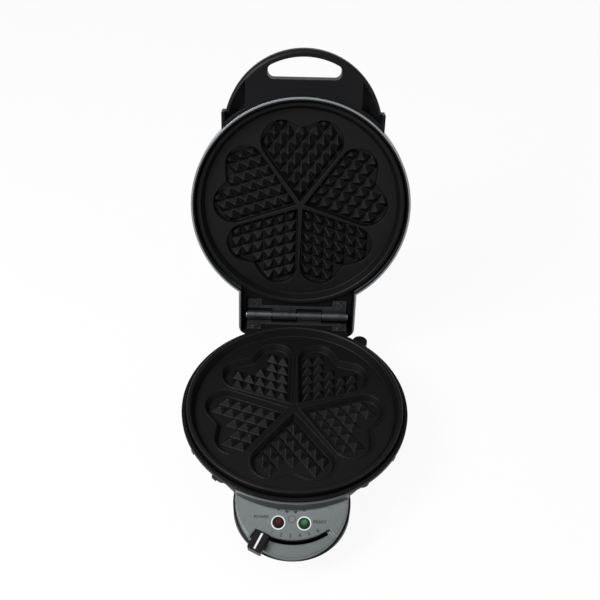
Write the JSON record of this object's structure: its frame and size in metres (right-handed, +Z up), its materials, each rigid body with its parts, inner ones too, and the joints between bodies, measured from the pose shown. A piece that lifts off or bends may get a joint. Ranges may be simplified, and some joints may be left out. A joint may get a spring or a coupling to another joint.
{
  "type": "electric waffle maker",
  "caption": "Round hinged electric waffle maker with heart-shaped cavities, a top handle, a control panel with two lamps and a sliding temperature knob, shown open.",
  "frame": {"origin": "on the floor, under the middle of the lower plate", "axes": "+Z up; -Y towards the control panel and the user; +X to the right as seen by the user; the lid's hinge runs along X at the back"},
  "size_m": [0.215, 0.3645, 0.3183],
  "materials": {
    "black_plastic": "fine-grained black moulding",
    "silver_plastic": "silver lacquered moulding, satin",
    "plate_coating": "black non-stick coating on cast aluminium",
    "rubber": "black rubber",
    "element_steel": "tarnished steel tube",
    "sheet_steel": "plain pressed sheet",
    "zinc": "zinc-plated",
    "red_lens": "clear red moulding",
    "green_lens": "clear green moulding",
    "pale_ring": "pale satin ring",
    "white_mark": "white inlay",
    "neon_glass": "clear glass",
    "ceramic": "pale ceramic and phenolic"
  },
  "bodies": {
    "base": {"base_shell": "black_plastic", "rubber_feet": "rubber", "lower_plate": "plate_coating", "lower_heating_element": "element_steel", "lower_reflector": "sheet_steel", "lower_plate_screws": "zinc", "base_hinge_leaf": "zinc", "base_hinge_screws": "zinc", "hinge_pin": "zinc", "control_fascia": "silver_plastic", "fascia_screws": "zinc", "lamp_bezels": "pale_ring", "red_lens": "red_lens", "green_lens": "green_lens", "lamp_holder": "black_plastic", "neon_lamps": "neon_glass", "thermostat_body": "ceramic", "thermostat_bracket": "sheet_steel", "thermal_fuse": "zinc", "fuse_clip": "sheet_steel", "terminal_block": "ceramic", "cord_gland": "rubber"},
    "lid": {"lid_shell": "silver_plastic", "upper_plate": "plate_coating", "upper_heating_element": "element_steel", "lid_chassis": "sheet_steel", "upper_plate_screws": "zinc", "lid_chassis_screws": "zinc", "lid_hinge_mount": "black_plastic", "lid_hinge_leaf": "zinc", "lid_hinge_screws": "zinc", "handle": "black_plastic", "handle_screws": "zinc"},
    "slider": {"slider_knob": "black_plastic", "knob_pointer": "white_mark", "slider_lever": "sheet_steel", "thermostat_spindle": "zinc"}
  },
  "joints": [
    {"name": "lid_hinge", "type": "hinge", "parent": "base", "child": "lid", "pos_m": [0, 0.1165, 0.0677], "axis": [1, 0, 0], "range_deg": [0, 109]},
    {"name": "temperature_slider", "type": "hinge", "parent": "base", "child": "slider", "pos_m": [0, -0.08353, 0.05909], "axis": [0, -0.2588, 0.9659], "range_deg": [0, 54]}
  ]
}
